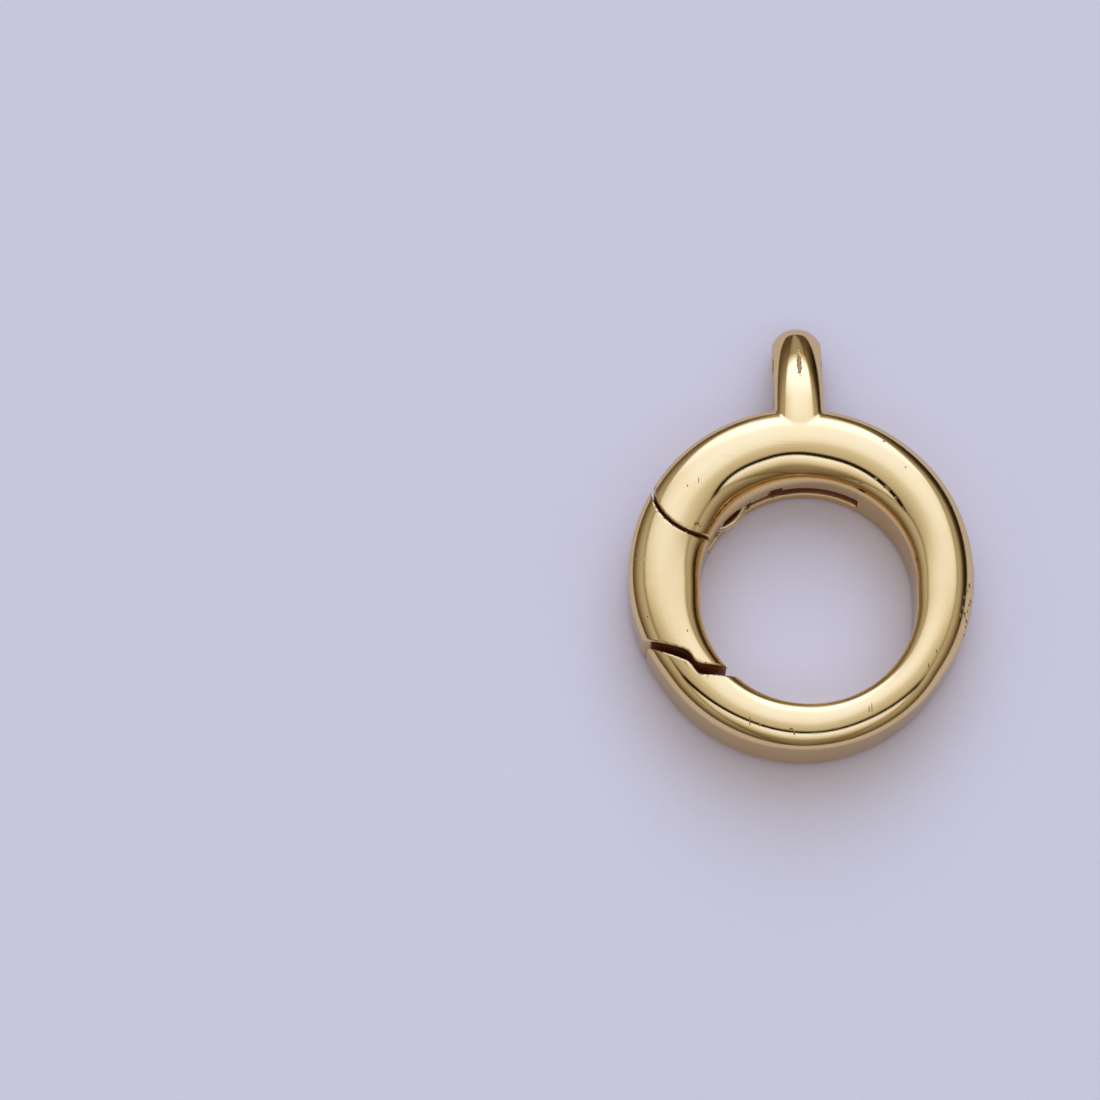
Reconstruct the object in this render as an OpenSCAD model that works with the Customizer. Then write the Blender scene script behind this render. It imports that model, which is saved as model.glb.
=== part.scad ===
// Triggerless push clasp for jewellery: a cast ring with a bail on top, and a gate that swings
// inward on a sprung pin. It lies on its back face, with the bail along +Y and the gate at -X.

/* [Ring] */
// Radius of the ring's outline on the bail side
ring_top_r = 8.05; // [7.8:0.05:8.4]
// Radius of its slightly narrower outline opposite the bail
ring_low_r = 7.6; // [7.4:0.05:7.75]
// Distance between the centres of the two outlines
ring_stretch = 0.8; // [0.7:0.05:1]
// Thickness from the back face to the front face
ring_t = 4; // [3.8:0.1:4.4]
// Rounding of the outer front edge
front_round = 0.9; // [0.6:0.05:1]
// Rounding of the outer back edge
back_round = 0.7; // [0.4:0.05:0.9]

/* [Hole] */
// Radius of the hole's two round ends
hole_r = 5.03; // [4.95:0.01:5.1]
// Distance between the centres of those ends, along Y
hole_stretch = 0.8; // [0.6:0.05:0.9]
// How far the hole lies towards +X from the ring's middle
hole_x = 0.3; // [0.25:0.05:0.35]
// How far the hole lies towards -Y from the ring's middle
hole_drop = 0.565; // [0.5:0.005:0.6]
// Rounding of the hole's front edge
front_flare = 1.1; // [0.7:0.05:1.15]
// Rounding of the hole's back edge
back_flare = 0.3; // [0.2:0.05:0.5]

/* [Bail] */
// Width of the bail along X
bail_w = 2.3; // [2:0.1:2.8]
// Radius of the bail's round end, seen from the side
bail_end_r = 1.3; // [1.25:0.05:1.4]
// Distance from the ring's middle to the centre of that end
bail_reach = 11.58; // [11.4:0.02:11.8]
// Height of the bail's front where it leaves the ring
crown_z = 3.9; // [3.8:0.05:4]
// Radius of the hole through the bail
eye_r = 1.1; // [0.9:0.05:1.1]
// How far the eye lies towards the ring from the end's centre
eye_drop = 1.34; // [1.2:0.02:1.5]
// Height of the eye's axis above the back face
eye_z = 1.6; // [1.55:0.05:1.7]
// Rounding of the bail's long edges
bail_round = 1.1; // [0.85:0.05:1.1]
// Radius of the small fillets between the bail and the ring
root_fillet_r = 0.45; // [0.3:0.05:0.6]

/* [Hinge] */
// Distance of the hinge pin from the centre of the hole's upper end
pivot_out = 6.24; // [6.2:0.01:6.3]
// Direction of the hinge pin from there, in degrees from +X
pivot_turn = 132.3; // [131.5:0.1:133]
// Radius of the hinge pin
pin_r = 0.45; // [0.4:0.01:0.5]
// Length of the hinge pin from the back face
pin_l = 3.2; // [3:0.05:3.3]
// Radial play of the knuckle on the pin
knuckle_play = 0.05; // [0.03:0.01:0.08]
// Radius of the knuckle's boss inside the coil
boss_r = 1.05; // [0.9:0.01:1.06]
// Radius of the round hinge joint that parts the gate from the ring
joint_r = 4.42; // [4.3:0.02:4.6]
// Width of the gap at that joint
joint_gap = 0.12; // [0.08:0.01:0.2]

/* [Pocket] */
// Height of the pocket's floor above the back face
pocket_low = 0.85; // [0.8:0.01:0.9]
// Height of the pocket's roof
pocket_high = 2.3; // [2.28:0.01:2.5]
// Height of the spring channel's roof
channel_high = 1.9; // [1.6:0.05:2.2]
// Radius, about the hole's upper centre, that the channel is cut to
channel_out = 6.55; // [6.5:0.05:6.8]
// Direction of the channel's far end, in degrees from +X
channel_end = 60.5; // [58:0.5:61]

/* [Spring] */
// Diameter of the spring wire
wire_d = 0.38; // [0.3:0.01:0.38]
// Outer radius of the coil
coil_r = 1.5; // [1.48:0.01:1.52]
// Height of the lower turn's underside above the back face
coil_low = 0.87; // [0.86:0.01:0.9]
// Length of the long arm
arm_l = 7; // [6:0.1:7.2]
// How far the arm slopes towards the hole, in degrees
arm_slope = 3; // [2.5:0.1:3.5]

/* [Gate] */
// Underside of the tongue above the back face
tongue_low = 1.45; // [1.42:0.01:1.5]
// Top of the tongue above the back face
tongue_high = 2.22; // [2.1:0.01:2.22]
// Outer radius of the tongue's tail about the hole's upper centre
tail_out = 6.05; // [5.9:0.01:6.1]
// Direction of the tail's round end, in degrees from +X
tail_end = 111.5; // [111:0.5:114]

/* [Hidden] */
$fn = 96;
eps = 0.01; // overshoot of a cut past a face
over = 1; // longer overshoot, where nothing lies beyond
wide = 20; // larger than the ring

ring_top_y = 0.28; // centre of the outline on the bail side
ring_low_y = ring_top_y - ring_stretch;
outlines = 3; // round outlines that make up the ring's slightly oval one

hole_top_y = -hole_drop + hole_stretch / 2;
hole_low_y = -hole_drop - hole_stretch / 2;

bail_tip_y = bail_reach + bail_end_r;
low_edge_y = ring_low_y - ring_low_r;
mid_y = (bail_tip_y + low_edge_y) / 2; // the part's middle is set to Y = 0
bail_z = bail_end_r; // the end's underside is level with the back face
bail_root_y = 7.2; // the bail's legs start inside the ring here
crown_y = 7.4; // the bail's front slopes away from here in one arc, and runs smoothly into its end
crown_fall = crown_z - bail_z;
end_ahead = bail_reach - crown_y;
crown_r = (pow(end_ahead, 2) + pow(crown_fall, 2) - pow(bail_end_r, 2)) / (2 * (crown_fall - bail_end_r));
crown_span = asin(end_ahead / (crown_r - bail_end_r)); // the arc's length in degrees
crown_depth = 1.9; // thickness that the front's arc is drawn with
crown_inset = 0.02; // lets that arc cross the round end's instead of touching it
end_overlap = 25; // how far the round end runs on inside the front, in degrees
leg_top = 2.2; // the straight legs reach up into it
root_half = bail_w / 2;

pivot_x = hole_x + pivot_out * cos(pivot_turn);
pivot_y = hole_top_y + pivot_out * sin(pivot_turn);
pin_hole_r = pin_r + 0.02;
knuckle_hole_r = pin_r + knuckle_play;
knuckle_r = 1.3;
joint_x = -2.9; // centre of the round hinge joint
joint_y = 5.8;

tongue_in = hole_r + 0.05; // the tongue's inner side lies just under the wall
tongue_out = 6.35;
tongue_root = 164; // the tongue runs into the gate here
tail_w = tail_out - tongue_in;
tail_mid = (tail_out + tongue_in) / 2;
neck_end = 118; // the broad part of the tongue ends here

play = 0.12; // play around the tongue in its pocket
coil_room_r = coil_r + play;
swing_r = 3.15; // room for the tail's swing, about the pin
swing_from = -12;
swing_to = 60;
pocket_from = 103.5;
pocket_to = 175;

wire_r = wire_d / 2;
arm_r = wire_r - 0.02; // the long arm is drawn a little thinner than the turns
turn_r = coil_r - wire_r;
turn_low_z = coil_low + wire_r;
turn_step = 0.36; // a little under the wire's diameter, so that the turns touch
turn_high_z = turn_low_z + turn_step;
coil_top = turn_high_z + wire_r + 0.03;
hook_turn = 245; // where the short arm turns up into the tongue
hook_r = 0.15;
hook_top = 2.1;

// Ends of the gate and of the ring's step, from the outer wall to the hole.
gate_step = [[-9, -2.44], [-5.31, -3.54], [-4.9, -4.18], [-2.6, -4.34]];
ring_step = [[-9, -2.55], [-5.23, -4.08], [-4.81, -4.77], [-2.6, -5]];
step_top = [[-2.6, 5], [-9, 5]];

// Moves what is drawn about the ring's middle to the part's own origin.
module placed() {
  translate([0, -mid_y, 0]) children();
}

// Flat wedge about a point, from one direction to another.
module wedge(x, y, from, to, reach = 30) {
  mid = (from + to) / 2;
  translate([x, y])
    polygon([
      [0, 0],
      [reach * cos(from), reach * sin(from)],
      [reach * cos(mid), reach * sin(mid)],
      [reach * cos(to), reach * sin(to)]
    ]);
}

// Section of the ring without its hole: radius along X, height along Y.
module disc_section(r) {
  translate([0, back_round]) square([r, ring_t - back_round - front_round]);
  square([r - back_round, back_round]);
  translate([r - back_round, back_round])
    intersection() {
      circle(back_round);
      translate([0, -back_round]) square([back_round, back_round]);
    }
  translate([0, ring_t - front_round]) square([r - front_round, front_round]);
  translate([r - front_round, ring_t - front_round])
    intersection() {
      circle(front_round);
      square([front_round, front_round]);
    }
}

// The whole disc, with rounded edges: outlines that shrink a little from the bail side down.
module disc() {
  for (i = [0:outlines - 1]) {
    share = i / (outlines - 1);
    translate([0, ring_top_y - share * ring_stretch, 0])
      rotate_extrude() disc_section(ring_top_r - share * (ring_top_r - ring_low_r));
  }
}

// Section of the hole's cutter, with the flares of its front and back edges.
module hole_section() {
  translate([0, -over]) square([hole_r, ring_t + 2 * over]);
  difference() {
    translate([hole_r - eps, ring_t - front_flare]) square([front_flare + eps, front_flare + over]);
    translate([hole_r + front_flare, ring_t - front_flare]) circle(front_flare);
  }
  difference() {
    translate([hole_r - eps, -over]) square([back_flare + eps, back_flare + over]);
    translate([hole_r + back_flare, back_flare]) circle(back_flare);
  }
}

// The cutter of the oval hole.
module hole() {
  translate([hole_x, hole_top_y, 0]) rotate_extrude(angle = 180, start = 0) hole_section();
  translate([hole_x, hole_low_y, 0]) rotate_extrude(angle = 180, start = 180) hole_section();
  for (side = [0, 1])
    translate([hole_x, hole_top_y, 0])
      mirror([side, 0, 0])
        rotate([90, 0, 0]) linear_extrude(hole_stretch) hole_section();
}

// Section of the bail's rounded rim at a radius: radius along X, the bail's width along Y.
module rim_section(r, depth) {
  flat = bail_w / 2 - bail_round;
  translate([r - depth, -bail_w / 2]) square([depth - bail_round, bail_w]);
  translate([r - depth, -flat]) square([depth, 2 * flat]);
  for (side = [-1, 1])
    translate([r - bail_round, side * flat])
      intersection() {
        circle(bail_round);
        translate([0, -bail_round]) square([bail_round, 2 * bail_round]);
      }
}

// Section across the bail's legs, whose back edges are rounded.
module leg_section() {
  flat = bail_w / 2 - bail_round;
  translate([-bail_w / 2, bail_round]) square([bail_w, leg_top - bail_round]);
  translate([-flat, 0]) square([2 * flat, leg_top]);
  for (side = [-1, 1])
    translate([side * flat, bail_round]) circle(bail_round);
}

// The bail before its eye is cut: its round end, its legs and its sloping front.
module bail_solid() {
  translate([0, bail_reach, bail_z])
    rotate([0, 90, 0])
      rotate_extrude(angle = 180 - crown_span + end_overlap, start = 0)
        rim_section(bail_end_r, bail_end_r);
  translate([0, bail_reach, 0])
    rotate([90, 0, 0]) linear_extrude(bail_reach - bail_root_y) leg_section();
  translate([0, crown_y, crown_z - crown_r])
    rotate([0, 90, 0])
      rotate_extrude(angle = crown_span + 1, start = 180 - crown_span)
        rim_section(crown_r - crown_inset, crown_depth);
}

// Small fillets between the bail's sides and the ring's outer wall.
module bail_root_fillets() {
  fillet_x = root_half + root_fillet_r;
  reach = ring_top_r + root_fillet_r;
  fillet_y = ring_top_y + sqrt(pow(reach, 2) - pow(fillet_x, 2));
  for (side = [0, 1])
    mirror([side, 0, 0])
      translate([0, 0, bail_round])
        linear_extrude(crown_z - 2 * bail_round)
          difference() {
            polygon([
              [root_half - eps, bail_root_y],
              [fillet_x * ring_top_r / reach, bail_root_y],
              [fillet_x * ring_top_r / reach, ring_top_y + (fillet_y - ring_top_y) * ring_top_r / reach],
              [root_half - eps, fillet_y]
            ]);
            translate([fillet_x, fillet_y]) circle(root_fillet_r);
          }
}

// Everything cast in one: the ring without its parting, and the bail.
module casting() {
  difference() {
    union() {
      disc();
      bail_solid();
      bail_root_fillets();
    }
    hole();
    translate([-wide / 2, bail_reach - eye_drop, eye_z])
      rotate([0, 90, 0]) cylinder(r = eye_r, h = wide);
  }
}

// Plan of the space left of the ring's step and outside its hinge joint.
module parting(step, r) {
  difference() {
    polygon(concat(step, step_top));
    translate([joint_x, joint_y]) circle(r);
  }
}

// Plan of the tongue: its neck, its knuckle and its tail.
module tongue_plan() {
  difference() {
    intersection() {
      translate([hole_x, hole_top_y]) circle(tongue_out);
      wedge(hole_x, hole_top_y, neck_end + 8, tongue_root);
    }
    translate([hole_x, hole_top_y]) circle(tongue_in);
  }
  difference() {
    intersection() {
      translate([hole_x, hole_top_y]) circle(tail_out);
      wedge(hole_x, hole_top_y, tail_end, neck_end + 12);
    }
    translate([hole_x, hole_top_y]) circle(tongue_in);
  }
  translate([hole_x + tail_mid * cos(tail_end), hole_top_y + tail_mid * sin(tail_end)])
    circle(tail_w / 2);
  difference() {
    translate([pivot_x, pivot_y]) circle(knuckle_r);
    translate([hole_x, hole_top_y]) circle(tongue_in);
  }
}

// Plan of the pocket in the ring's inner wall.
module pocket_plan() {
  intersection() {
    translate([hole_x, hole_top_y]) circle(tongue_out + play);
    wedge(hole_x, hole_top_y, pocket_from, pocket_to);
  }
  translate([pivot_x, pivot_y]) circle(coil_room_r);
  intersection() {
    translate([pivot_x, pivot_y]) circle(swing_r);
    wedge(pivot_x, pivot_y, swing_from, swing_to);
  }
}

// Plan of the channel that holds the spring's long arm.
module channel_plan() {
  intersection() {
    translate([hole_x, hole_top_y]) circle(channel_out);
    wedge(hole_x, hole_top_y, channel_end, pocket_from + 2);
  }
}

module ring_body() {
  color([0.83, 0.66, 0.34])
    placed()
      difference() {
        casting();
        translate([0, 0, -over]) linear_extrude(ring_t + 2 * over) parting(ring_step, joint_r - joint_gap / 2);
        translate([0, 0, pocket_low]) linear_extrude(pocket_high - pocket_low) pocket_plan();
        translate([0, 0, pocket_low]) linear_extrude(channel_high - pocket_low) channel_plan();
        translate([pivot_x, pivot_y, -over]) cylinder(r = pin_hole_r, h = pin_l + over + 0.05);
      }
}

module gate() {
  color([0.86, 0.7, 0.38])
    placed()
      difference() {
        union() {
          intersection() {
            casting();
            translate([0, 0, -over]) linear_extrude(ring_t + 2 * over) parting(gate_step, joint_r + joint_gap / 2);
          }
          difference() {
            translate([0, 0, tongue_low]) linear_extrude(tongue_high - tongue_low) tongue_plan();
            translate([pivot_x, pivot_y, 0]) cylinder(r = coil_room_r, h = coil_top);
          }
          translate([pivot_x, pivot_y, pocket_low + 0.05]) cylinder(r = boss_r, h = tongue_high - pocket_low - 0.05);
        }
        translate([pivot_x, pivot_y, -over]) cylinder(r = knuckle_hole_r, h = ring_t);
        translate([pivot_x + turn_r * cos(hook_turn), pivot_y + turn_r * sin(hook_turn), 0])
          cylinder(r = hook_r + 0.05, h = ring_t);
      }
}

module hinge_pin() {
  color([0.7, 0.55, 0.3])
    placed()
      translate([pivot_x, pivot_y, 0]) cylinder(r = pin_r, h = pin_l);
}

module torsion_spring() {
  color([0.75, 0.68, 0.5])
    placed()
      translate([pivot_x, pivot_y, 0]) {
        rotate_extrude() {
          translate([turn_r, turn_low_z]) circle(wire_r);
          translate([turn_r, turn_high_z]) circle(wire_r);
        }
        translate([0, 0, turn_low_z])
          rotate([0, 0, 90 - arm_slope])
            translate([turn_r, 0, 0])
              rotate([90, 0, 0]) cylinder(r = arm_r, h = arm_l);
        translate([turn_r * cos(hook_turn), turn_r * sin(hook_turn), turn_high_z])
          cylinder(r = hook_r, h = hook_top - turn_high_z);
      }
}

ring_body();
gate();
hinge_pin();
torsion_spring();
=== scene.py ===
"""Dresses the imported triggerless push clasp: a gold-plated cast ring with its bail, the sprung
gate, the hinge pin and the torsion spring, lying on pale paper inside a soft light tent."""

import math

import bmesh
import bpy
from mathutils import Matrix, Vector


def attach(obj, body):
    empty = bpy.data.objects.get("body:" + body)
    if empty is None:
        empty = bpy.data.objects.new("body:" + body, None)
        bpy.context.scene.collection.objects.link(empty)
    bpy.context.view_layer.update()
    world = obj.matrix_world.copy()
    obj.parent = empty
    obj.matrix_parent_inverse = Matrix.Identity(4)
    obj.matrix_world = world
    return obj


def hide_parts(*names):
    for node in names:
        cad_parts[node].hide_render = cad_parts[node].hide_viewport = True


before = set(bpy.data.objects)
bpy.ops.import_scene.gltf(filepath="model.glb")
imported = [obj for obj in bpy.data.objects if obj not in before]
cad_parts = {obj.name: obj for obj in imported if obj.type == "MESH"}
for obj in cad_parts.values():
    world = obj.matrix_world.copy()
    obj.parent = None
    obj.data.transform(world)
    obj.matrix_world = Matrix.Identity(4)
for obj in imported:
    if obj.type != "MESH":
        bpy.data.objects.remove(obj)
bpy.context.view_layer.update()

# Camera. It looks down from the side opposite the bail, 16 degrees off the vertical, and stands
# a little to the left, where the photograph's middle is. Lengths are in millimetres.
MM = 0.001
MID_Y = -2.38  # the ring's middle in the frame
PHOTO_SIDE = 1100
PHOTO_SCALE = 21.4  # photograph's pixels for each millimetre at the clasp
aim = Vector((-11.7, 2.39 + MID_Y, 0))
clasp_middle = Vector((0, MID_Y, 2))
camera_tilt = math.radians(16)
camera_distance = 210

camera_way = Vector((0, -math.sin(camera_tilt), math.cos(camera_tilt)))
clasp_depth = camera_distance - (clasp_middle - aim).dot(camera_way)
camera_data = bpy.data.cameras.new("camera")
camera_data.sensor_width = 36
camera_data.lens = camera_data.sensor_width * PHOTO_SCALE * clasp_depth / PHOTO_SIDE
camera_data.clip_start = 0.01
camera = bpy.data.objects.new("camera", camera_data)
camera.location = (aim + camera_distance * camera_way) * MM
camera.rotation_euler = (camera_tilt, 0, 0)
bpy.context.scene.collection.objects.link(camera)
bpy.context.scene.camera = camera
bpy.context.scene.view_settings.view_transform = "Standard"

# Ring body. One brass casting together with its bail, tumbled, polished and gold plated. The ring
# is a slightly oval band with a domed front; the bail stands on it and slopes to its round end.
STEPS = 256  # faces round the ring
DOME_STEPS = 40  # faces across its front
ring_top_r = 8.05
ring_low_r = 7.6
ring_top_y = 0.28
ring_stretch = 0.8
ring_t = 4
back_round = 0.7
hole_r = 5.03
hole_x = 0.3
hole_top_y = -0.165
hole_stretch = 0.8
hole_back_round = 0.3
band_middle = Vector((0.15, -0.4))  # directions round the ring are measured from here
AT_HOLE = 0.5  # what lies closer to the hole's wall than this belongs to it
NEAR = 0.001


def start(name, add, **place):
    """Adds a primitive with everything else deselected, names it and opens it for editing."""
    bpy.ops.object.select_all(action="DESELECT")
    add(**place)
    bpy.ops.object.transform_apply(location=True, rotation=True)
    bpy.context.object.name = name
    bpy.ops.object.mode_set(mode="EDIT")
    return bpy.context.object


def pick(kind, test):
    """Selects the vertices, edges or faces being edited whose points all pass the test."""
    bpy.ops.mesh.select_all(action="DESELECT")
    bpy.ops.mesh.select_mode(type=kind)
    mesh = bmesh.from_edit_mesh(bpy.context.object.data)
    parts = {"VERT": mesh.verts, "EDGE": mesh.edges, "FACE": mesh.faces}[kind]
    for part in parts:
        points = [part] if kind == "VERT" else part.verts
        part.select_set(all(test(p.co) for p in points))
    mesh.select_flush_mode()
    bmesh.update_edit_mesh(bpy.context.object.data)


def from_hole(p):
    """Distance of a point from the hole's wall, and its direction from the nearest centre."""
    centre_y = min(max(p.y, hole_top_y - hole_stretch), hole_top_y)
    out = Vector((p.x - hole_x, p.y - centre_y, 0))
    return out.length - hole_r, out.normalized()


ring = start("ring_casting", bpy.ops.mesh.primitive_circle_add,
             vertices=STEPS, radius=ring_top_r, location=(0, ring_top_y, 0))
turn_over_up = (ring_low_r - ring_top_r) / ring_stretch  # sine of where the two outer arcs meet
pick("VERT", lambda p: p.y < ring_top_y + ring_top_r * turn_over_up)
narrow = ring_low_r / ring_top_r
bpy.ops.transform.resize(value=(narrow, narrow, 1), center_override=(0, ring_top_y, 0))
bpy.ops.transform.translate(value=(0, -ring_stretch, 0))
bpy.ops.mesh.select_all(action="DESELECT")
bpy.ops.mesh.primitive_circle_add(vertices=STEPS, radius=hole_r, location=(hole_x, hole_top_y, 0))
pick("VERT", lambda p: from_hole(p)[0] < AT_HOLE and p.y < hole_top_y - NEAR)
bpy.ops.transform.translate(value=(0, -hole_stretch, 0))
bpy.ops.mesh.select_all(action="SELECT")
bpy.ops.mesh.extrude_region_move(TRANSFORM_OT_translate={"value": (0, 0, ring_t)})
pick("FACE", lambda p: from_hole(p)[0] < AT_HOLE)
bpy.ops.mesh.flip_normals()
for height, cuts in ((0, 0), (ring_t, DOME_STEPS - 1)):
    pick("EDGE", lambda p: abs(p.z - height) < NEAR)
    bpy.ops.mesh.bridge_edge_loops(number_cuts=cuts, interpolation="LINEAR")
bpy.ops.mesh.select_all(action="SELECT")
bpy.ops.mesh.normals_make_consistent(inside=False)
for at_hole, width, segments in ((False, back_round, 16), (True, hole_back_round, 8)):
    pick("EDGE", lambda p: p.z < NEAR and (from_hole(p)[0] < AT_HOLE) == at_hole)
    bpy.ops.mesh.bevel(offset=width, segments=segments, profile=0.5, clamp_overlap=False)
bpy.ops.object.mode_set(mode="OBJECT")


def from_wall(p):
    """Distance of a point from the ring's outer wall."""
    top = Vector((p.x, p.y - ring_top_y))
    low = Vector((p.x, p.y - ring_top_y + ring_stretch))
    if top.y > turn_over_up * top.length:
        return ring_top_r - top.length
    if low.y < turn_over_up * low.length:
        return ring_low_r - low.length
    turn_over_across = (1 - turn_over_up ** 2) ** 0.5
    return ring_top_r - abs(top.x) * turn_over_across - top.y * turn_over_up


def around(turn, values):
    """Blends smoothly between values given at directions in degrees, all the way round."""
    turn = math.degrees(turn) % 360
    for (low, first), (high, second) in zip(values, values[1:]):
        if turn <= high:
            share = (turn - low) / (high - low)
            return first + (second - first) * (1 - math.cos(share * math.pi)) / 2


# How far the domed front falls to the outer wall and to the hole, and where in the band its crest
# runs, as a share of the width from the hole.
outer_falls = [(0, 1.25), (45, 0.9), (75, 0.8), (120, 0.75), (180, 0.9), (240, 0.9), (270, 0.7),
               (300, 0.8), (360, 1.25)]
inner_falls = [(0, 0.65), (45, 1.05), (75, 1.1), (105, 1.5), (125, 1.7), (150, 1.2), (180, 0.85),
               (240, 0.55), (270, 0.43), (300, 0.45), (330, 0.5), (360, 0.65)]
crests = [(0, 0.5), (270, 0.5), (300, 0.43), (330, 0.46), (360, 0.5)]
for v in ring.data.vertices:
    if v.co.z > ring_t - NEAR:
        to_hole, out = from_hole(v.co)
        width = to_hole + from_wall(v.co)
        part = to_hole / width
        turn = math.atan2(v.co.y - band_middle.y, v.co.x - band_middle.x)
        swing = min(part, 1 - part) * math.pi
        crest = around(turn, crests)
        if part > 0.5:
            kept = 1 - (1 - crest) * (1 - math.cos(swing))
            fall = around(turn, outer_falls)
        else:
            kept = crest * (1 - math.cos(swing))
            fall = around(turn, inner_falls)
        v.co += out * (kept - part) * width
        v.co.z = ring_t - fall * (1 - math.sin(swing))

gate = ring.copy()  # the gate is cut from the same band
gate.data = ring.data.copy()
gate.name = "push_gate"
bpy.context.scene.collection.objects.link(gate)

bail_w = 2.3
bail_end = Vector((11.58, 1.3))  # centre of the bail's round end: along Y, and up
bail_end_r = 1.3
crown_y = 7.4  # the front starts to slope here, this high
crown_z = 3.9
bail_round = 1.1
bail_flatten = 0.5  # on its front the rounded edges are this much shallower than they are wide
eye_r = 1.1
eye_y = 10.24
eye_z = 1.6
PAST = 1  # cutting tools reach this far past what they cut


def arc(centre, r, start_deg, end_deg, count=24):
    """Points along an arc, both ends included."""
    turns = [math.radians(start_deg + (end_deg - start_deg) * i / count) for i in range(count + 1)]
    return [(centre.x + r * math.cos(a), centre.y + r * math.sin(a)) for a in turns]


def slab(name, outline, low, high):
    """A flat outline in plan, filled and extruded upwards."""
    mesh = bpy.data.meshes.new(name)
    mesh.from_pydata([(x, y, low) for x, y in outline], [], [range(len(outline))])
    made = bpy.data.objects.new(name, mesh)
    bpy.context.scene.collection.objects.link(made)
    bpy.ops.object.select_all(action="DESELECT")
    bpy.context.view_layer.objects.active = made
    made.select_set(True)
    bpy.ops.object.mode_set(mode="EDIT")
    bpy.ops.mesh.select_all(action="SELECT")
    bpy.ops.mesh.extrude_region_move(TRANSFORM_OT_translate={"value": (0, 0, high - low)})
    bpy.ops.mesh.select_all(action="SELECT")
    bpy.ops.mesh.normals_make_consistent(inside=False)
    bpy.ops.object.mode_set(mode="OBJECT")
    return made


def carve(piece, tool, operation="DIFFERENCE"):
    """Cuts a piece with a tool, or joins the tool on, and removes the tool."""
    bpy.ops.object.select_all(action="DESELECT")
    bpy.context.view_layer.objects.active = piece
    piece.select_set(True)
    boolean = piece.modifiers.new("cut", "BOOLEAN")
    boolean.operation = operation
    boolean.solver = "EXACT"
    boolean.object = tool
    bpy.ops.object.modifier_apply(modifier=boolean.name)
    bpy.data.objects.remove(tool)


fall = crown_z - bail_end.y
ahead = bail_end.x - crown_y
crown_r = (ahead ** 2 + fall ** 2 - bail_end_r ** 2) / (2 * (fall - bail_end_r))
crown = Vector((crown_y, crown_z - crown_r))
root = Vector((crown_y, crown_z / 2))
meet = 90 - math.degrees(math.asin(ahead / (crown_r - bail_end_r)))
side_view = (arc(bail_end, bail_end_r, -90, meet, 64) + arc(crown, crown_r, meet, 90, 48)[1:]
             + arc(root, root.y, 90, 270, 64)[1:])
bail = slab("bail", side_view, -bail_w / 2, bail_w / 2)
bail.data.transform(Matrix(((0, 0, 1, 0), (1, 0, 0, 0), (0, 1, 0, 0), (0, 0, 0, 1))))
bpy.ops.object.mode_set(mode="EDIT")
for side in (-1, 1):
    pick("EDGE", lambda p: p.x * side > bail_w / 2 - NEAR)
    bpy.ops.mesh.bevel(offset=bail_round, segments=20, profile=0.5, clamp_overlap=False)
bpy.ops.object.mode_set(mode="OBJECT")
for v in bail.data.vertices:
    p = Vector((v.co.y, v.co.z))
    if -90 <= math.degrees(math.atan2(p.y - bail_end.y, p.x - bail_end.x)) <= meet:
        centre, r = bail_end, bail_end_r
    elif p.x < crown_y:
        centre, r = root, root.y
    elif p.y > bail_end.y:
        centre, r = crown, crown_r
    else:
        continue
    outward = (p - centre).normalized()
    kept = 1 - bail_flatten * max(outward.y, 0) ** 2
    v.co.y, v.co.z = centre + outward * (r - kept * (r - (p - centre).length))

eye = start("eye", bpy.ops.mesh.primitive_cylinder_add, vertices=128, radius=eye_r,
            depth=bail_w + 2 * PAST, location=(0, eye_y, eye_z), rotation=(0, math.radians(90), 0))
bpy.ops.object.mode_set(mode="OBJECT")
carve(ring, bail, "UNION")
carve(ring, eye)

pivot = Vector((-3.9, 4.45))
pin_r = 0.45
pin_l = 3.2
joint = Vector((-4.46, 4.52))
joint_r = 2.47
joint_gap = 0.15
pin_grip = 0.02  # between the pin and the ring
pocket_low = 0.85
pocket_high = 2.3
pocket_r = 6.47
pocket_turns = 103.5, 175
swing_r = 3.15  # the tongue's tail swings inside this, about the pin
swing_turns = -12, 60
channel_high = 1.9
channel_r = 6.55
channel_turns = 60.5, 105.5
coil_room_r = 1.62
hole_top = Vector((hole_x, hole_top_y))
step_corner_reach = 0.3
ring_step = [(-9, -2.55), (-5.23, -4.08), (-4.88, -4.68), (-2.6, -4.72)]
gate_corner = (-9, 5)  # outside the ring, beyond the joint


def eased(line, reach):
    """Turns the corners of a line into short curves that start this far before them."""
    curved = [line[0]]
    for corner in range(1, len(line) - 1):
        before, here, after = (Vector(p) for p in line[corner - 1:corner + 2])
        first = here + (before - here).normalized() * reach
        last = here + (after - here).normalized() * reach
        for t in (0, 0.25, 0.5, 0.75, 1):
            curved.append(tuple((1 - t) ** 2 * first + 2 * t * (1 - t) * here + t ** 2 * last))
    return curved + [line[-1]]


def parting(step, r):
    """Plan of what lies outside the hinge joint and left of the step."""
    low = -math.degrees(math.acos((step[-1][0] - joint.x) / r))
    high = 180 + math.degrees(math.asin((joint.y - gate_corner[1]) / r))
    return eased(step, step_corner_reach) + arc(joint, r, low, high - 360, 64) + [gate_corner]


def disc(centre, r, points=60):
    return arc(centre, r, 0, 360 - 360 / points, points - 1)


def sector(centre, r, turns):
    return [tuple(centre)] + arc(centre, r, *turns, 48)


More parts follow.
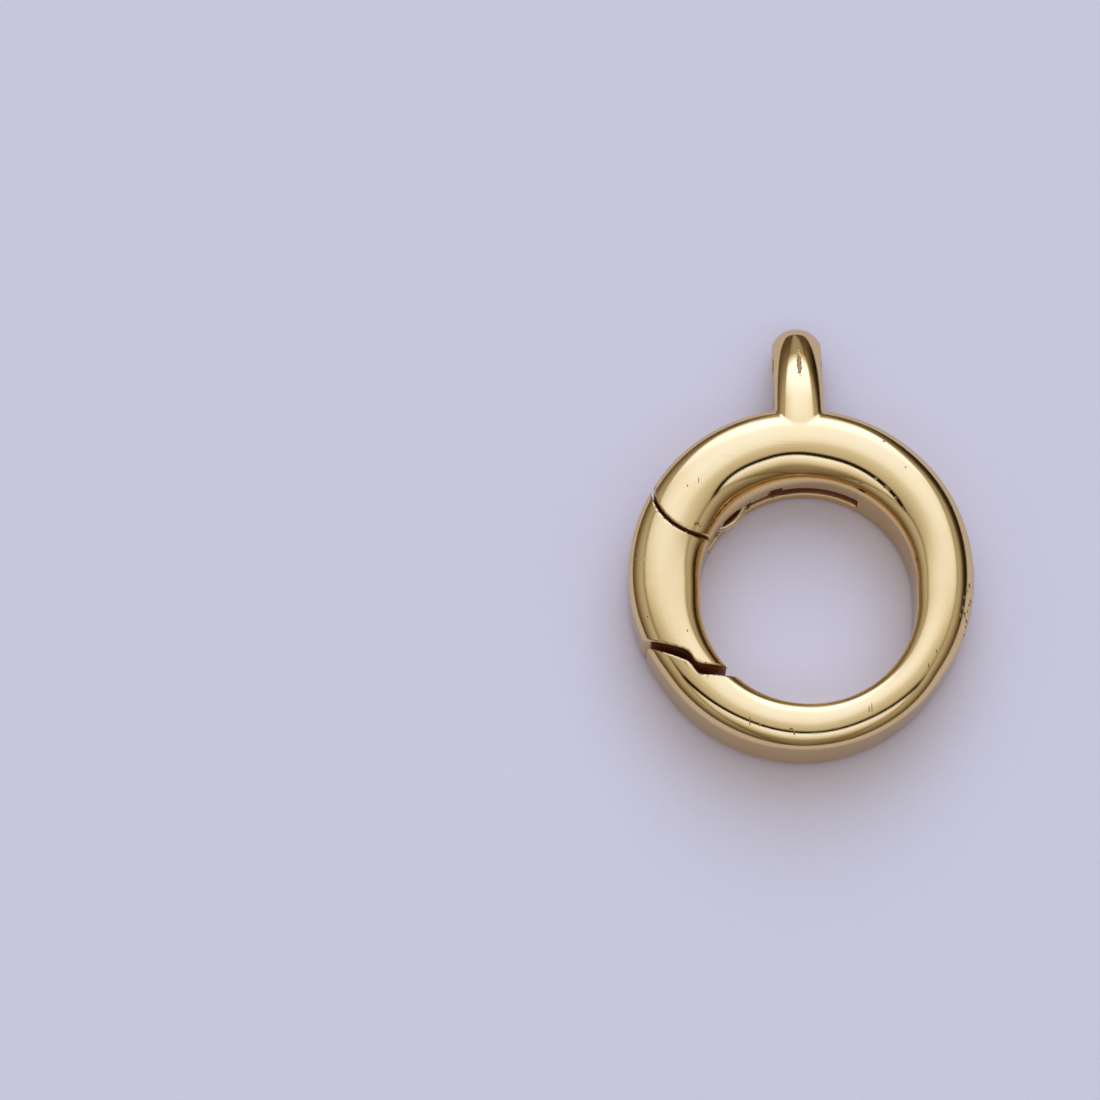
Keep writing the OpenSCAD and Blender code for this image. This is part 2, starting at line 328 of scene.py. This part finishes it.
carve(ring, slab("parting", parting(ring_step, joint_r - joint_gap / 2), -PAST, ring_t + PAST))
carve(ring, slab("pocket", sector(hole_top, pocket_r, pocket_turns), pocket_low, pocket_high))
carve(ring, slab("swing", sector(pivot, swing_r, swing_turns), pocket_low, pocket_high))
carve(ring, slab("coil_room", disc(pivot, coil_room_r), pocket_low, pocket_high))
carve(ring, slab("channel", sector(hole_top, channel_r, channel_turns), pocket_low, channel_high))
carve(ring, slab("pin_hole", disc(pivot, pin_r + pin_grip, 24), -PAST, pin_l + 0.05))


WITHIN = 0.1  # a point farther than this from both walls is inside the casting
inside_heights = 0.3, 2.5
under_bail_high = 0.9
weld = 0.004  # points closer than this become one
sharp_deg = 32  # edges sharper than this are softened
smooth_deg = 35


def dress(piece, body, node, softened):
    """Softens the piece's sharp edges, smooths it, and sets it in the frame on its body.

    Edges inside the pocket, its upright corners and edges under the bail stay sharp, because a
    bevel there would grow spikes.
    """
    bpy.ops.object.select_all(action="DESELECT")
    bpy.context.view_layer.objects.active = piece
    piece.select_set(True)
    bpy.ops.object.mode_set(mode="EDIT")
    bpy.ops.mesh.select_all(action="SELECT")
    bpy.ops.mesh.remove_doubles(threshold=weld)
    bpy.ops.mesh.delete_loose(use_verts=True, use_edges=True, use_faces=False)
    bpy.ops.mesh.select_all(action="SELECT")
    bpy.ops.mesh.fill_holes(sides=0)
    bpy.ops.mesh.select_all(action="DESELECT")
    bpy.ops.mesh.select_mode(type="EDGE")
    bpy.ops.mesh.edges_select_sharp(sharpness=math.radians(sharp_deg))
    mesh = bmesh.from_edit_mesh(piece.data)
    for edge in mesh.edges:
        ends = [v.co for v in edge.verts]
        within = all(from_hole(p)[0] > WITHIN and from_wall(p) > WITHIN for p in ends)
        hidden = within and all(inside_heights[0] < p.z < inside_heights[1] for p in ends)
        upright = abs(ends[0].z - ends[1].z) > 0.2
        corner = upright and all(pocket_low - 0.05 < p.z < pocket_high + 0.1 for p in ends)
        under_bail = all(p.y > crown_y and p.z < under_bail_high for p in ends)
        if hidden or corner or under_bail:
            edge.select_set(False)
    bmesh.update_edit_mesh(piece.data)
    bpy.ops.mesh.bevel(offset=softened, segments=3, profile=0.5, clamp_overlap=False,
                       loop_slide=False)
    bpy.ops.object.mode_set(mode="OBJECT")
    for v in piece.data.vertices:
        v.co.z = min(max(v.co.z, 0), ring_t)
    bpy.ops.object.shade_smooth_by_angle(angle=math.radians(smooth_deg))
    piece.data.transform(Matrix.Scale(MM, 4) @ Matrix.Translation((0, MID_Y, 0)))
    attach(piece, body)
    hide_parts(node)


dress(ring, "frame", "ring_body", softened=0.06)


def group(name, inputs, outputs):
    """An empty shader node group with named sockets; returns its tree, inputs and outputs."""
    tree = bpy.data.node_groups.new(name, "ShaderNodeTree")
    for label, kind, value in inputs:
        socket = tree.interface.new_socket(label, in_out="INPUT", socket_type="NodeSocket" + kind)
        if value is not None:
            socket.default_value = value
    for label, kind in outputs:
        tree.interface.new_socket(label, in_out="OUTPUT", socket_type="NodeSocket" + kind)
    return tree, tree.nodes.new("NodeGroupInput").outputs, tree.nodes.new("NodeGroupOutput").inputs


def put(tree, kind, settings=(), **sockets):
    """Adds a node; its sockets, in lower case, take a value or another node's output."""
    node = tree.nodes.new("ShaderNode" + kind)
    for name, value in dict(settings).items():
        setattr(node, name, value)
    for name, value in sockets.items():
        label = name.replace("_", " ")
        socket = next(s for s in node.inputs if s.name.lower() == label and s.enabled)
        if isinstance(value, bpy.types.NodeSocket):
            tree.links.new(value, socket)
        else:
            socket.default_value = value
    return node


def calc(tree, operation, *values):
    """A math node on numbers or outputs; returns its result."""
    node = tree.nodes.new("ShaderNodeMath")
    node.operation = operation
    for socket, value in zip(node.inputs, values):
        if isinstance(value, bpy.types.NodeSocket):
            tree.links.new(value, socket)
        else:
            socket.default_value = value
    return node.outputs[0]


def fade(tree, value, low, high, out_low=0.0, out_high=1.0):
    """Turns a value between two limits smoothly into one between two others."""
    return put(tree, "MapRange", {"interpolation_type": "SMOOTHSTEP"}, value=value, from_min=low,
               from_max=high, to_min=out_low, to_max=out_high).outputs[0]


def blend(tree, factor, a, b):
    return put(tree, "Mix", {"data_type": "RGBA"}, factor=factor, a=a, b=b).outputs["Result"]


def span(tree, x, y):
    """How far a point is from the axis that x and y are measured from."""
    return calc(tree, "SQRT", calc(tree, "ADD", calc(tree, "MULTIPLY", x, x),
                                   calc(tree, "MULTIPLY", y, y)))


def measured_from(tree, place, centre):
    """Coordinates measured from the upright axis through a point of the ring's plan."""
    return put(tree, "Mapping", vector=place,
               location=(-centre.x * MM, -(centre.y + MID_Y) * MM, 0)).outputs[0]


# Soft waves that hand polishing leaves, seen as a wobble in what the metal mirrors.
polish, given, made = group("polish_waves",
                            [("Vector", "Vector", None), ("Depth", "Float", 0.00002)],
                            [("Height", "Float")])
broad = put(polish, "TexNoise", vector=given["Vector"], scale=260, detail=1.0, roughness=0.4)
fine = put(polish, "TexNoise", vector=given["Vector"], scale=1500, detail=2.0, roughness=0.5)
height = calc(polish, "ADD", broad.outputs[0], calc(polish, "MULTIPLY", fine.outputs[0], 0.05))
polish.links.new(calc(polish, "MULTIPLY", height, given["Depth"]), made["Height"])

# Casting pits: a few pinholes that polishing did not take out, each sunk, painted dark as shade.
pits, given, made = group("casting_pits",
                          [("Vector", "Vector", None), ("Scale", "Float", 700.0),
                           ("Share", "Float", 0.06)],
                          [("Mask", "Float")])
cells = put(pits, "TexVoronoi", vector=given["Vector"], scale=given["Scale"], randomness=1.0)
chosen = put(pits, "SeparateColor", color=cells.outputs["Color"])
few = calc(pits, "LESS_THAN", chosen.outputs[0], given["Share"])
spread = calc(pits, "MULTIPLY_ADD", chosen.outputs[1], 0.06, 0.03)
near = calc(pits, "SUBTRACT", 1.0, calc(pits, "DIVIDE", cells.outputs["Distance"], spread))
pits.links.new(calc(pits, "MULTIPLY", calc(pits, "MAXIMUM", near, 0.0), few), made["Mask"])

# Hairline scratches: short fine lines in two directions, only here and there.
hairs, given, made = group("hairlines", [("Vector", "Vector", None)], [("Mask", "Float")])
lines = []
for turn, threshold in ((0.5, 0.76), (2.1, 0.77)):
    rotated = put(hairs, "Mapping", vector=given["Vector"], rotation=(0, 0, turn),
                  scale=(350, 9000, 350))
    strokes = put(hairs, "TexNoise", vector=rotated.outputs[0], scale=1.0, detail=0.0)
    lines.append(fade(hairs, strokes.outputs[0], threshold, threshold + 0.03))
patches = put(hairs, "TexNoise", vector=given["Vector"], scale=330, detail=0.0)
here = fade(hairs, patches.outputs[0], 0.5, 0.62)
hairs.links.new(calc(hairs, "MULTIPLY", calc(hairs, "MAXIMUM", *lines), here), made["Mask"])

# A nick or dent at a place on the piece, with a ragged edge.
nick, given, made = group("nick",
                          [("Vector", "Vector", None), ("Centre", "Vector", (0, 0, 0)),
                           ("Size", "Vector", (1, 1, 1))],
                          [("Mask", "Float")])
ragged = put(nick, "TexNoise", vector=given["Vector"], scale=9000, detail=1.0)
away = put(nick, "VectorMath", {"operation": "SUBTRACT"})
nick.links.new(given["Vector"], away.inputs[0])
nick.links.new(given["Centre"], away.inputs[1])
scaled = put(nick, "VectorMath", {"operation": "DIVIDE"})
nick.links.new(away.outputs[0], scaled.inputs[0])
nick.links.new(given["Size"], scaled.inputs[1])
reach = put(nick, "VectorMath", {"operation": "LENGTH"})
nick.links.new(scaled.outputs[0], reach.inputs[0])
uneven = calc(nick, "MULTIPLY_ADD", ragged.outputs[0], 0.9, reach.outputs["Value"])
nick.links.new(fade(nick, uneven, 1.45, 1.0), made["Mask"])

# Painted shade and tarnish in the crevices: where near surfaces, the floor among them, shut the
# gold in, and wherever the Inside input says so, it is painted brown as shade; the brown tarnish
# that gathers where a cloth never reaches is in the same colour.
crevice_shade, given, made = group("crevice_shade_and_tarnish",
                             [("Color", "Color", (1, 1, 1, 1)), ("Tarnish", "Color", (1, 1, 1, 1)),
                              ("Reach", "Float", 0.0012), ("Inside", "Float", 0.0)],
                             [("Color", "Color"), ("Mask", "Float")])
openness = put(crevice_shade, "AmbientOcclusion", {"samples": 5}, distance=given["Reach"])
shut_in = fade(crevice_shade, openness.outputs["AO"], 0.6, 0.18)
closed = calc(crevice_shade, "MAXIMUM", shut_in, given["Inside"])
crevice_shade.links.new(blend(crevice_shade, closed, given["Color"], given["Tarnish"]), made["Color"])
crevice_shade.links.new(closed, made["Mask"])


def use(tree, shared, **sockets):
    """Places a shared node group and sets or links its named inputs."""
    node = tree.nodes.new("ShaderNodeGroup")
    node.node_tree = shared
    for name, value in sockets.items():
        socket = node.inputs[name.replace("_", " ").capitalize()]
        if isinstance(value, bpy.types.NodeSocket):
            tree.links.new(value, socket)
        else:
            socket.default_value = value
    return node.outputs


# Inside the hinge pocket and its channel the casting is painted dark brown throughout as
# shade. That room lies toward the bail, behind the hole's wall and between the pocket's floor
# and ceiling.
room_out = 7.4  # from the hole's middle
room_up = 1  # from there toward the bail
skin = 0.03  # reaches this far past the floor and the ceiling, so that both are painted as shaded
pocket_shade, given, made = group("pocket_inside", [("Vector", "Vector", None)], [("Mask", "Float")])
right, up, level = put(pocket_shade, "SeparateXYZ",
                       vector=measured_from(pocket_shade, given["Vector"], hole_top)).outputs
out_from = span(pocket_shade, right, up)
deep = fade(pocket_shade, out_from, (hole_r + 0.06) * MM, (hole_r + 0.2) * MM)
for value, operation, limit in ((out_from, "LESS_THAN", room_out), (up, "GREATER_THAN", room_up),
                                (level, "GREATER_THAN", pocket_low - skin),
                                (level, "LESS_THAN", pocket_high + skin)):
    deep = calc(pocket_shade, "MULTIPLY", deep, calc(pocket_shade, operation, value, limit * MM))
pocket_shade.links.new(deep, made["Mask"])


def new_material(name):
    """A material; returns it with its tree, its shader's inputs and the object's coordinates."""
    material = bpy.data.materials.new(name)
    material.use_nodes = True
    tree = material.node_tree
    place = put(tree, "TexCoord").outputs["Object"]
    return material, tree, tree.nodes["Principled BSDF"].inputs, place


def paint(piece, material):
    piece.data.materials.clear()
    piece.data.materials.append(material)


nick_depth = 3  # nicks fade out this far below the crest, so none shows on the back
clean_rough = 0.06  # the polished plating's roughness, to which each kind of mark adds its own
scratch_rough = 0.18
shade_and_tarnish_rough = 0.5
pit_rough = 0.35
scratch_depth = 0.0000006
pit_depth = 0.00003
worn_edge = 0.00012


def plated(name, offset, nicks):
    """Polished gold plating; the offset moves its random marks, and the nicks lie where given."""
    material, tree, shader, place = new_material(name)
    shader["Specular Tint"].default_value = (0.8, 0.78, 0.78, 1)
    moved = put(tree, "Mapping", vector=place, location=(offset, offset, 0)).outputs[0]
    pitted = use(tree, pits, vector=moved)["Mask"]
    scratched = use(tree, hairs, vector=moved)["Mask"]
    for x, y, reach_x, reach_y in nicks:
        mark = use(tree, nick, vector=place, centre=(x * MM, (y + MID_Y) * MM, ring_t * MM),
                   size=(reach_x * MM, reach_y * MM, nick_depth * MM))["Mask"]
        pitted = calc(tree, "MAXIMUM", pitted, mark)
    blush = put(tree, "TexNoise", vector=moved, scale=420, detail=3.0)
    gold = blend(tree, fade(tree, blush.outputs[0], 0.35, 0.7),
                 (0.85, 0.635, 0.31, 1), (0.84, 0.61, 0.28, 1))
    # The pits and nicks are painted dark brown: painted shade in the dents.
    sunk = blend(tree, pitted, gold, (0.42, 0.25, 0.1, 1))
    # Painted shade, with tarnish: crevices and the pocket turn brown, less metallic and rougher.
    shaded_and_tarnished = use(tree, crevice_shade, color=sunk, tarnish=(0.36, 0.115, 0.04, 1),
                    inside=use(tree, pocket_shade, vector=place)["Mask"])
    tree.links.new(shaded_and_tarnished["Color"], shader["Base Color"])
    tree.links.new(fade(tree, shaded_and_tarnished["Mask"], 0.3, 1, 1, 0.55), shader["Metallic"])
    dulled = calc(tree, "MULTIPLY_ADD", scratched, scratch_rough, clean_rough)
    dulled = calc(tree, "MULTIPLY_ADD", shaded_and_tarnished["Mask"], shade_and_tarnish_rough, dulled)
    tree.links.new(calc(tree, "MULTIPLY_ADD", pitted, pit_rough, dulled), shader["Roughness"])
    waved = use(tree, polish, vector=moved)["Height"]
    scored = calc(tree, "MULTIPLY_ADD", scratched, -scratch_depth, waved)
    dented = calc(tree, "MULTIPLY_ADD", pitted, -pit_depth, scored)
    rounded = put(tree, "Bevel", {"samples": 4}, radius=worn_edge)
    bump = put(tree, "Bump", height=dented, distance=1.0, normal=rounded.outputs[0])
    tree.links.new(bump.outputs[0], shader["Normal"])
    return material


# Nicks and pits in the front, each painted dark as shade in its dent: each one's place in plan,
# and its reach along X and Y. The row from (3.5, 4.75) to (4.75, 3.3) also darkens the dark
# line that the upper right inner slope mirrors: a painted reflection.
ring_nicks = [
    (0.04, 10.6, 0.12, 0.75), (-4.77, 4.65, 0.02, 0.13), (-5.29, 4.37, 0.03, 0.06),
    (-4.86, 2.57, 0.16, 0.07), (-4.72, 2.48, 0.04, 0.05), (-2.53, -6.9, 0.03, 0.22),
    (-0.66, -7.3, 0.12, 0.06), (-0.5, -7.45, 0.05, 0.1), (-2.07, -7.1, 0.07, 0.05),
    (2.95, -6.35, 0.02, 0.2), (3.08, -6.28, 0.02, 0.24), (3.5, 4.75, 0.1, 0.05),
    (3.95, 4.32, 0.12, 0.08), (4.08, 4.2, 0.07, 0.05), (4.4, 3.8, 0.06, 0.09),
    (4.75, 3.3, 0.04, 0.1), (2.77, 4.6, 0.16, 0.03), (3.91, 6.57, 0.07, 0.05),
    (4.88, 5.27, 0.03, 0.05), (6.11, -3.6, 0.03, 0.12), (5.73, -4.3, 0.03, 0.16),
    (7.75, -0.35, 0.07, 0.11), (7.52, -0.96, 0.06, 0.08), (7.8, -1.05, 0.06, 0.12),
    (7.74, -1.24, 0.06, 0.1), (7.48, -1.68, 0.08, 0.09), (7.33, -1.83, 0.11, 0.07),
    (7.6, -2.0, 0.07, 0.11), (7.5, -1.75, 0.04, 0.16), (7.48, -2.61, 0.05, 0.09),
    (7.66, -0.62, 0.04, 0.09), (7.42, -1.45, 0.05, 0.06), (7.56, -2.24, 0.05, 0.08),
    (7.65, -1.55, 0.04, 0.09),
]
paint(ring, plated("plated_casting", offset=0.0, nicks=ring_nicks))

# Gate. A plated brass casting of the same band, so its faces run on from the ring's. The tongue
# on its hinge end has a knuckle for the pin and swings in the ring's pocket; its free end is
# stepped to close against the ring.
gate_step = [(-9, -2.44), (-5.31, -3.54), (-4.96, -4.16), (-2.6, -4.3)]
tongue_in = 5.08
tail_out = 6.05
tail_deg = 111.5, 121  # where the tongue's tail ends, and where it starts from the neck
neck_out = 6.35
neck_deg = 125, 164
tongue_low = 1.45
tongue_high = 2.22
APART = 0.01  # joined pieces end this much lower, so that no two faces lie in one plane
knuckle_r = 1.3
boss_r = 1.05
boss_low = 0.9
pin_play = 0.05  # between the pin and the gate
coil_top = 1.64
turn_r = 1.31  # radius of the spring's turns
hook_turn = 245  # direction from the pin in which the spring's hook stands
gate_swing = 22  # the gate opens this far, so the hook needs a slot
slot_half_w = 0.2
slot_past = 9  # the slot runs on by this angle at each end of the swing

gate_plan = parting(gate_step, joint_r + joint_gap / 2)
carve(gate, slab("parting", gate_plan, -PAST, ring_t + PAST), "INTERSECT")
tail_r = (tail_out - tongue_in) / 2
tail_turn = math.radians(tail_deg[0])
tail_way = Vector((math.cos(tail_turn), math.sin(tail_turn)))
tail_end = hole_top + (tongue_in + tail_out) / 2 * tail_way
tongue_plan = (arc(hole_top, tongue_in, neck_deg[1], tail_deg[0], 30)
               + arc(tail_end, tail_r, tail_deg[0] + 180, tail_deg[0] + 360, 16)[1:-1]
               + arc(hole_top, tail_out, *tail_deg, 6) + arc(hole_top, neck_out, *neck_deg, 24))
tongue = slab("tongue", tongue_plan, tongue_low, tongue_high)
knuckle = slab("knuckle", disc(pivot, knuckle_r), tongue_low, tongue_high - APART)
carve(tongue, knuckle, "UNION")
carve(tongue, slab("open_hole", disc(hole_top, tongue_in, 360), -PAST, ring_t))
carve(tongue, slab("coil_room", disc(pivot, coil_room_r), -PAST, coil_top))
carve(gate, tongue, "UNION")
carve(gate, slab("boss", disc(pivot, boss_r), boss_low, tongue_high - 2 * APART), "UNION")
carve(gate, slab("pin_hole", disc(pivot, pin_r + pin_play, 24), -PAST, ring_t))
slot_start, slot_end = hook_turn + slot_past, hook_turn - gate_swing - slot_past
hook_slot = (arc(pivot, turn_r + slot_half_w, slot_start, slot_end)
             + arc(pivot, turn_r - slot_half_w, slot_end, slot_start))
carve(gate, slab("hook_slot", hook_slot, -PAST, tongue_high + 0.1))
dress(gate, "gate", "gate", softened=0.07)
gate_nicks = [(-7.2, -1.9, 0.05, 0.03), (-5.35, -2.6, 0.03, 0.06)]
paint(gate, plated("plated_gate", offset=0.013, nicks=gate_nicks))

# Hinge pin. A short turned brass pin pressed into the ring from the back. Its lower end is dressed
# flush with the back face and centre-punched to spread it; its upper end has only the small
# hollow that turning left.
pin_chamfer = 0.06
flat_rim = 0.2  # from the chamfer to where the hollow starts
hollow_side = 0.09  # from there to the hollow's floor, in plan
pin = start("pin", bpy.ops.mesh.primitive_cylinder_add, vertices=64, radius=pin_r, depth=pin_l,
            location=(pivot.x, pivot.y, pin_l / 2))
for height, inward, sunk in ((0, 1, 0.09), (pin_l, -1, 0.03)):
    pick("EDGE", lambda p: abs(p.z - height) < NEAR)
    bpy.ops.mesh.bevel(offset=pin_chamfer, segments=4, profile=0.5)
    pick("FACE", lambda p: abs(p.z - height) < NEAR)
    bpy.ops.mesh.inset(thickness=flat_rim)
    bpy.ops.mesh.inset(thickness=hollow_side)
    bpy.ops.transform.translate(value=(0, 0, inward * sunk))
bpy.ops.object.mode_set(mode="OBJECT")
dress(pin, "frame", "hinge_pin", softened=0.015)
turned, tree, shader, place = new_material("pin_metal")
shader["Metallic"].default_value = 1
own = measured_from(tree, place, pivot)
grooves = put(tree, "TexWave", {"wave_type": "RINGS", "rings_direction": "Z"}, vector=own,
              scale=6500, distortion=0.6, detail=2.0)
grain = put(tree, "TexNoise", vector=own, scale=2500, detail=3.0)
brass = blend(tree, grain.outputs[0], (0.80, 0.60, 0.30, 1), (0.70, 0.50, 0.22, 1))
# Painted shade, with tarnish: where the ring's hole shuts the pin in its brass turns brown.
brass_with_crevice_shade = use(tree, crevice_shade, color=brass, tarnish=(0.42, 0.22, 0.07, 1))["Color"]
tree.links.new(brass_with_crevice_shade, shader["Base Color"])
tree.links.new(fade(tree, grain.outputs[0], 0.3, 0.7, 0.16, 0.3), shader["Roughness"])
groove_depth = 0.0000012
ridges = calc(tree, "MULTIPLY", grooves.outputs["Fac"], groove_depth)
tree.links.new(put(tree, "Bump", height=ridges, distance=1.0).outputs[0], shader["Normal"])
paint(pin, turned)

# Torsion spring. One length of plated steel wire: a long arm in the ring's channel, two turns
# round the gate's boss, and a short hook that turns up into the gate's tongue.
wire_r = 0.185
turn_low = 1.06
turn_high = 1.43
arm_l = 7
arm_turn = 87
ARM_STEPS = 12
TURN_STEP = 6
layer_turn = 360 + arm_turn  # from here on the wire lies on its own first turn
hook_bend = 0.2
hook_lean = 0.3  # the bend goes this share as far forward as it goes up
hook_top = 2.05


def on_turn(degrees, z):
    """A point of the spring's turns, measured from the hinge axis."""
    a = math.radians(degrees)
    return Vector((turn_r * math.cos(a), turn_r * math.sin(a), z))


along_arm = Vector((math.sin(math.radians(arm_turn)), -math.cos(math.radians(arm_turn)), 0))
leave = on_turn(arm_turn, turn_low)
path = [leave + along_arm * arm_l * (1 - i / ARM_STEPS) for i in range(ARM_STEPS)]
for turn in range(arm_turn, 360 + hook_turn + 1, TURN_STEP):
    climb = min(max((turn - hook_turn) / (layer_turn - hook_turn), 0), 1)
    z = turn_low + (turn_high - turn_low) * (1 - math.cos(climb * math.pi)) / 2
    path.append(on_turn(turn, z))
last, before = path[-1], path[-2]
forward = (last - before).normalized()
for degrees in range(15, 91, 15):
    a = math.radians(degrees)
    rise = Vector((0, 0, hook_bend * (1 - math.cos(a))))
    path.append(last + forward * hook_bend * math.sin(a) * hook_lean + rise)
path.append(Vector((path[-1].x, path[-1].y, hook_top)))
bpy.ops.object.select_all(action="DESELECT")
line = bpy.data.curves.new("spring_path", "CURVE")
line.dimensions = "3D"
line.bevel_depth = wire_r
line.bevel_resolution = 5
line.use_fill_caps = True
run = line.splines.new("POLY")
run.points.add(len(path) - 1)
for point, p in zip(run.points, path):
    point.co = (p.x + pivot.x, p.y + pivot.y, p.z, 1)
spring = bpy.data.objects.new("spring_wire", line)
bpy.context.scene.collection.objects.link(spring)
bpy.context.view_layer.objects.active = spring
spring.select_set(True)
bpy.ops.object.convert(target="MESH")
spring = bpy.context.object
dress(spring, "frame", "torsion_spring", softened=0.03)
drawn, tree, shader, place = new_material("spring_wire")
own = measured_from(tree, place, pivot)
right, up, level = put(tree, "SeparateXYZ", vector=own).outputs
lanes = put(tree, "CombineXYZ", x=span(tree, right, up), y=level)
die_lines = put(tree, "TexNoise", vector=lanes.outputs[0], scale=30000, detail=1.0)
patches = put(tree, "TexNoise", vector=own, scale=1200, detail=2.0)
wire_gold = blend(tree, fade(tree, patches.outputs[0], 0.4, 0.65),
                  (0.86, 0.66, 0.34, 1), (0.78, 0.66, 0.45, 1))
# Painted shade: between the turns and near the casting the wire turns dark brown, less metallic.
shaded = use(tree, crevice_shade, color=wire_gold, tarnish=(0.2, 0.08, 0.03, 1), reach=0.0016)
tree.links.new(shaded["Color"], shader["Base Color"])
tree.links.new(fade(tree, shaded["Mask"], 0.3, 1, 1, 0.3), shader["Metallic"])
tree.links.new(fade(tree, die_lines.outputs[0], 0.3, 0.7, 0.12, 0.26), shader["Roughness"])
die_line_depth = 0.000001
scored = calc(tree, "MULTIPLY", die_lines.outputs[0], die_line_depth)
tree.links.new(put(tree, "Bump", height=scored, distance=1.0).outputs[0], shader["Normal"])
paint(spring, drawn)

# Floor. A sheet of smooth pale lilac paper that the clasp lies on. It is plain, and wide enough
# to fill the picture.
floor_side = 0.6
floor_gap = 0.00001  # between the paper and the back face
bpy.ops.mesh.primitive_plane_add(size=floor_side, location=(0, 0, -floor_gap))
floor = bpy.context.object
floor.name = "floor"
paper, tree, shader, place = new_material("paper")
shader["Roughness"].default_value = 0.9
shader["Specular IOR Level"].default_value = 0.2
fibre = put(tree, "TexNoise", vector=place, scale=2600, detail=4.0)
tone = blend(tree, fibre.outputs[0], (0.92, 0.86, 0.89, 1), (0.95, 0.89, 0.92, 1))
tree.links.new(tone, shader["Base Color"])
paint(floor, paper)

# Light tent. Its brightness is drawn over the angle in which each direction leans front to back
# and side to side: a bright rear slope, a softer top, dim sides, and the dark seams between the
# panels. The dim parts are warm and the bright ones cool.
BRIGHTEST = 2  # a ramp holds values up to 1, so it stores shares of this
studio = bpy.data.worlds.new("light_tent")
bpy.context.scene.world = studio
studio.use_nodes = True
tree = studio.node_tree


def stops(value, *pairs):
    """Brightness against an angle given in radians; the pairs are degrees and brightness."""
    node = tree.nodes.new("ShaderNodeValToRGB")
    ramp = node.color_ramp
    while len(ramp.elements) < len(pairs):
        ramp.elements.new(0.5)
    for element, (angle, level) in zip(ramp.elements, pairs):
        element.position = (angle + 90) / 180
        element.color = (level / BRIGHTEST, level / BRIGHTEST, level / BRIGHTEST, 1)
    share = calc(tree, "DIVIDE", calc(tree, "ADD", value, math.pi / 2), math.pi)
    tree.links.new(share, node.inputs[0])
    return calc(tree, "MULTIPLY", node.outputs[0], BRIGHTEST)


toward = put(tree, "TexCoord").outputs["Generated"]
x, y, z = put(tree, "SeparateXYZ", vector=toward).outputs
along = calc(tree, "ARCTAN2", y, z)
across = calc(tree, "ARCTAN2", x, z)
front_to_back = stops(along, (-90, 0.1), (-50, 0.3), (-38, 0.7), (-28, 0.93), (-21.5, 1.08),
                      (-20.3, 0.02), (-13, 0.0), (-10.5, 0.48), (0, 0.57), (8, 0.66),
                      (16, 0.88), (25, 0.98), (40, 1.06), (55, 1.6), (61, 1.6), (71, 0.36),
                      (90, 0.32))
side_to_side = stops(across, (-90, 0.55), (-42, 0.62), (-30, 0.82), (-20, 0.95), (-8, 1.06),
                     (5, 1.06), (12, 1.04), (22, 1.02), (34, 0.94), (42, 0.74), (90, 0.55))
beside = stops(across, (-90, 1), (-42, 1), (-38, 0), (41, 0), (45, 1), (90, 1))
seams = stops(across, (-90, 1), (-44, 1), (-42, 0.65), (-38, 0.65), (-36, 1),
              (39, 1), (41, 0.7), (45, 0.7), (47, 1), (90, 1))
middle = calc(tree, "MULTIPLY", calc(tree, "MULTIPLY", front_to_back, side_to_side),
              calc(tree, "SUBTRACT", 1.0, beside))
sides = calc(tree, "MULTIPLY", fade(tree, z, 0.05, 0.75, 0.1, 0.48), beside)
light = calc(tree, "MULTIPLY", calc(tree, "ADD", middle, sides), seams)

# The tent's low rear corner on the right is in shade.
corner_x, corner_y = 0.85, 0.53  # how far the corner lies to the right and to the rear
corner_shade = 0.8
to_corner = calc(tree, "ADD", calc(tree, "MULTIPLY", x, corner_x),
                 calc(tree, "MULTIPLY", y, corner_y))
corner = calc(tree, "MULTIPLY", fade(tree, to_corner, 0.75, 0.93), fade(tree, z, 0.5, 0.3))
lit = calc(tree, "SUBTRACT", 1.0, calc(tree, "MULTIPLY", corner, corner_shade))
light = calc(tree, "MULTIPLY", light, lit)

warm = blend(tree, fade(tree, light, 0.0, 0.5), (1, 0.72, 0.5, 1), (1, 1, 1, 1))
cool = blend(tree, fade(tree, light, 0.45, 1.25), warm, (0.96, 1.12, 1.68, 1))
exposure = 1.13
background = tree.nodes["Background"].inputs
tree.links.new(cool, background["Color"])
tree.links.new(calc(tree, "MULTIPLY", light, exposure), background["Strength"])
